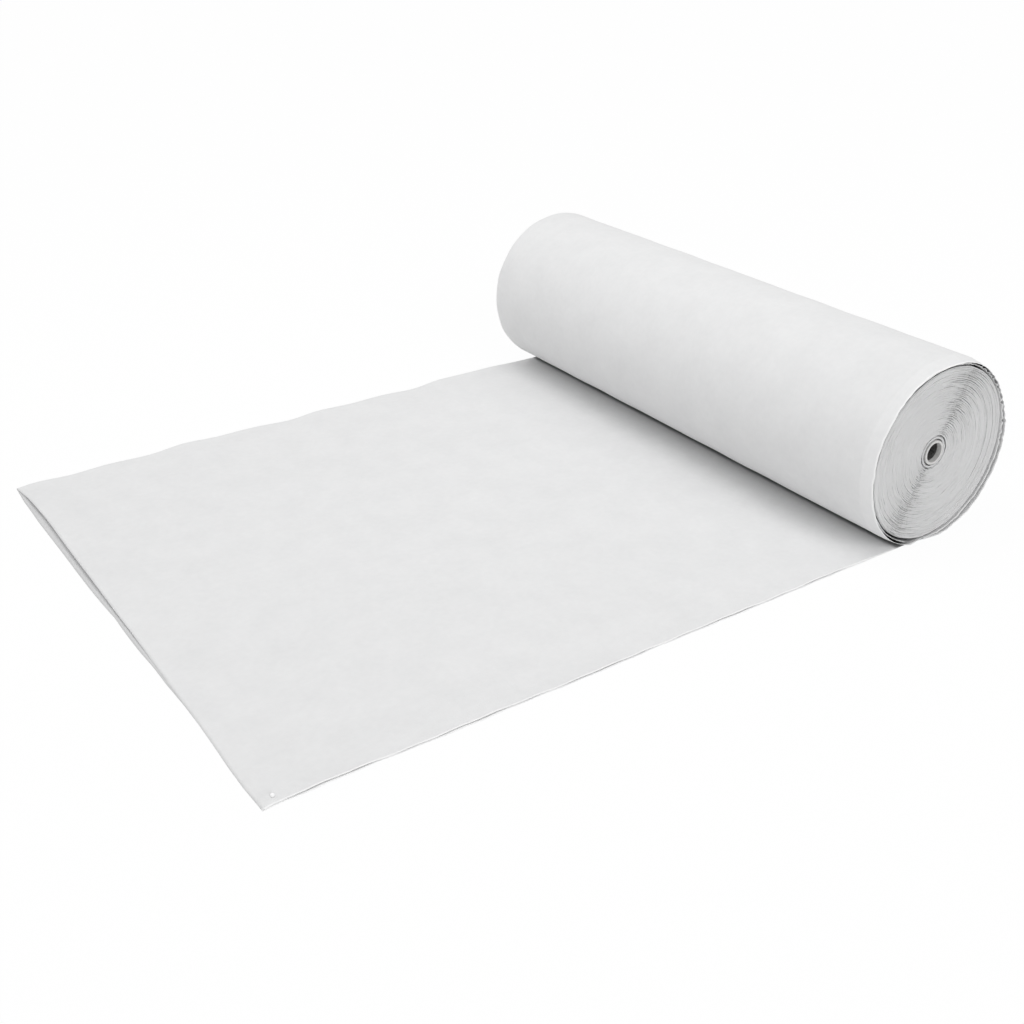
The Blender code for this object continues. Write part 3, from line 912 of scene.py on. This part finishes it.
def make_card():
    material, tree, shader = make_finish("core_card", {"Specular IOR Level": 0.3})
    place = tree.node("ShaderNodeTexCoord").output("Object")
    parts = tree.node("ShaderNodeSeparateXYZ", {}, {0: place})
    x, y, z = parts.output("X"), parts.output("Y"), parts.output("Z") - AXLE_HEIGHT
    turn = x.maths("ARCTAN2", x, z) / math.tau
    radius = x.maths("SQRT", x * x + z * z)
    seam_place = turn.maths("FRACT", turn + y / SEAM_PITCH)
    to_seam = seam_place.maths("ABSOLUTE", seam_place - 0.5)
    seam = tree.between(to_seam, 0.006, 0.018, 1.0, 0.0)
    in_bore = tree.between(radius, BORE_RADIUS + 0.0002, BORE_RADIUS + 0.0006, 1.0, 0.0)
    far_in = tree.between(y.maths("ABSOLUTE", y), TUBE_END - 0.0070, TUBE_END - 0.0063, 1.0, 0.0)
    # Painted shade: the bore's colour goes dark some 7 mm in from each end.
    deep = in_bore * far_in
    mottle = tree.node("ShaderNodeTexNoise", {}, {"Vector": place, "Scale": 420.0, "Detail": 4.0})
    layers = tree.node("ShaderNodeTexNoise", {"noise_dimensions": "1D"},
                       {"W": radius, "Scale": LAYER_SCALE, "Detail": 1.0})
    amount = 0.75 + (mottle - 0.5) * 0.4 + (layers - 0.5) * 0.4 - seam * 0.1 - deep * 0.68
    shade(tree, shader, DARK_CARD_AND_BORE_SHADE, PALE_CARD, amount,
          0.72 + (mottle - 0.5) * 0.2, mottle * 0.5 + layers * 0.5 - seam * 1.5, 0.00015)
    return material


card = make_card()
tube_section = [(BORE_RADIUS, -TUBE_END), (TUBE_RADIUS, -TUBE_END),
                (TUBE_RADIUS, TUBE_END), (BORE_RADIUS, TUBE_END)]
tube = turned_piece("card_core", rounded(tube_section, RIM_ROUNDING), 96,
                    Vector((0, 0, AXLE_HEIGHT)), True)
tube.data.materials.append(card)
print("core: %.1f mm bore, %.0f mm long" % (BORE_RADIUS * 2000, TUBE_END * 2000))

# %% [markdown]
# ## The tape under the first turn
# A strip of paper tape holds the web's start on the tube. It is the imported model's own piece,
# whose shape is right, so it only gets a better finish: creped paper with fine ridges.

# %% Tape finish
def make_tape():
    material, tree, shader = make_finish("paper_tape", {"Specular IOR Level": 0.35})
    place = tree.node("ShaderNodeTexCoord").output("Object")
    crepe = tree.node("ShaderNodeTexNoise", {}, {
        "Vector": tree.node("ShaderNodeMapping", {}, {"Vector": place, "Scale": (300, 2400, 300)}),
        "Scale": 1.0, "Detail": 2.0})
    stain = tree.node("ShaderNodeTexNoise", {}, {"Vector": place, "Scale": 60.0, "Detail": 3.0})
    shade(tree, shader, (0.62, 0.56, 0.43), (0.76, 0.71, 0.58), crepe * 0.6 + stain * 0.4,
          0.5 + crepe * 0.25, crepe, 0.0002)
    return material


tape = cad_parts["core_tape"]
tape.data.materials.clear()
tape.data.materials.append(make_tape())
print("tape:", [material.name for material in tape.data.materials])

# %% [markdown]
# ## The pin in the corner
# At the near free corner a small plastic pin holds the two plies together: a pearl head on
# top, a thin shank, and a flat clip under the lower ply. Only the head shows. Every part of it
# is round, so one outline is spun for the whole pin.

# %% Pin
BALL_FOOT, BALL_RADIUS, BALL_STEPS = 0.0026, 0.0021, 15
BALL_TURN, BALL_RISE = math.pi * 0.86, 0.86


def make_pin():
    material, tree, shader = make_finish("pin_plastic", {"Specular IOR Level": 0.5})
    place = tree.node("ShaderNodeTexCoord").output("Object")
    skin = tree.node("ShaderNodeTexNoise", {}, {"Vector": place, "Scale": 1500.0, "Detail": 3.0})
    shade(tree, shader, (0.90, 0.90, 0.90), (0.95, 0.95, 0.95), skin,
          0.25 + skin * 0.15, skin, 0.00003)
    turns = [BALL_TURN * step / (BALL_STEPS - 1) for step in range(BALL_STEPS)]
    head = [(BALL_RADIUS * math.sin(turn), BALL_FOOT + BALL_RADIUS * (BALL_RISE + math.cos(turn)))
            for turn in turns]
    shank = [(0.0008, BALL_FOOT - 0.00012), (0.0007, BALL_FOOT - 0.0002), (0.0007, 0.0008)]
    clip = [(0.0009, 0.0006), (0.0021, 0.0006), (0.0023, 0.0005), (0.0023, 0.0001),
            (0.0022, 0.0), (0, 0.0)]
    outline = (head + shank + clip)[::-1]
    pin = turned_piece("corner_pin_detail", outline, 40, Vector((PIN_X, PIN_Y, 0)), False)
    pin.data.materials.append(material)
    return pin


pin = make_pin()
print("pin: %.4f m over its clip and head" % pin.dimensions.z)

# %% [markdown]
# ## The floor
# The object stands on a pale floor in front of a white background. The floor shows as white
# to the camera, with a share of its lit surface left in, so the object's shadow stays on it.
# The rays that gloss and glass send on see the same white.

# %% Floor
WHITE_SHARE = 0.96
FLOOR_REACH, FLOOR_LEVEL = 14.0, -0.0002


def seen_rays(tree):
    """One for the camera's own rays and for those that gloss and glass send on."""
    path = tree.node("ShaderNodeLightPath")
    return (path.output("Is Camera Ray") + path.output("Is Glossy Ray")
            + path.output("Is Transmission Ray"))


def make_floor():
    material = bpy.data.materials.new("studio_floor")
    material.use_nodes = True
    tree = Tree(material.node_tree)
    tree.node_tree.nodes.clear()
    grain = tree.node("ShaderNodeTexNoise", {}, {
        "Vector": tree.node("ShaderNodeTexCoord").output("Object"), "Scale": 40.0})
    colour = tree.node("ShaderNodeMix", {"data_type": "RGBA"},
                       {0: grain, 6: (0.94, 0.94, 0.94, 1), 7: (0.96, 0.96, 0.96, 1)}).output(2)
    lit = tree.node("ShaderNodeBsdfDiffuse", {}, {"Color": colour})
    white = tree.node("ShaderNodeEmission", {}, {"Strength": 1.0})
    mixed = tree.node("ShaderNodeMixShader", {},
                      {0: seen_rays(tree) * WHITE_SHARE, 1: lit, 2: white})
    tree.node("ShaderNodeOutputMaterial", {}, {0: mixed})
    mesh = bpy.data.meshes.new("studio_floor")
    corners = [(x * FLOOR_REACH, y * FLOOR_REACH, FLOOR_LEVEL)
               for x, y in ((-1, -1), (1, -1), (1, 1), (-1, 1))]
    mesh.from_pydata(corners, [], [(0, 1, 2, 3)])
    mesh.materials.append(material)
    floor = put("studio_floor", mesh)


make_floor()
print("floor: %.0f m wide, %.0f%% white to the camera" % (FLOOR_REACH * 2, WHITE_SHARE * 100))

# %% [markdown]
# ## The light
# A round soft box hangs above the laid stretch and throws the soft shadow under the roll. Two
# very broad suns are weak fills: one from low in front, for the roll's near end, and one from
# the far left, for the long side over the laid stretch. The world adds an even light from all
# round, and shows as white to the camera.

# %% Lamps and world
SUNS = {"near_fill": ((0.0, -0.886, 0.464), 1.025), "far_fill": ((-0.4545, 0.4545, 0.766), 0.47)}
SUN_SPREAD = 35
BOX_PLACE, BOX_SIZE, BOX_POWER = Vector((-0.4, 0.0, 2.0)), 1.0, 8.0
AIM = Vector((-0.35, 0.0, 0.1))
WORLD_LEVEL = 0.57


def place_lamp(lamp, towards, place=(0, 0, 0)):
    stand = put(lamp.name, lamp)
    stand.rotation_mode = "QUATERNION"
    stand.rotation_quaternion = Vector(towards).to_track_quat("Z", "Y")
    stand.location = place


def make_lamps():
    for name, (towards, strength) in SUNS.items():
        lamp = bpy.data.lights.new(name, "SUN")
        lamp.energy, lamp.angle = strength, math.radians(SUN_SPREAD)
        place_lamp(lamp, towards)
    box = bpy.data.lights.new("soft_box", "AREA")
    box.shape, box.size, box.energy = "DISK", BOX_SIZE, BOX_POWER
    place_lamp(box, BOX_PLACE - AIM, BOX_PLACE)


def make_world():
    world = bpy.data.worlds.new("studio")
    world.use_nodes = True
    tree = Tree(world.node_tree)
    tree.node_tree.nodes.clear()
    seen = seen_rays(tree)
    level = WORLD_LEVEL + seen.maths("MINIMUM", seen, 1.0) * (1.0 - WORLD_LEVEL)
    light = tree.node("ShaderNodeBackground", {}, {"Strength": level})
    tree.node("ShaderNodeOutputWorld", {}, {0: light})
    light.socket.node.inputs["Color"].default_value = (1, 1, 1, 1)
    scene.world = world


make_lamps()
make_world()
scene.view_settings.view_transform = "Standard"
print("light: soft_box, %s and a world of %.2f" % (", ".join(SUNS), WORLD_LEVEL))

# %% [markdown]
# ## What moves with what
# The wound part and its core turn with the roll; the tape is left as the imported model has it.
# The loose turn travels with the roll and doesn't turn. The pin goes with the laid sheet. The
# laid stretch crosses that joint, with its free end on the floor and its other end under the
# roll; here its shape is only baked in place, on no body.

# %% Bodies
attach(wound, "roll")
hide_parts("wound_fleece")
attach(tube, "roll")
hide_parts("core_tube")
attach(loose, "loose_turn")
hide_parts("outer_turn")
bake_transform(laid)
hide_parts("laid_fleece")
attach(pin, "laid_sheet")
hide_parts("corner_pin")
print("on the roll:", wound.name, tube.name)
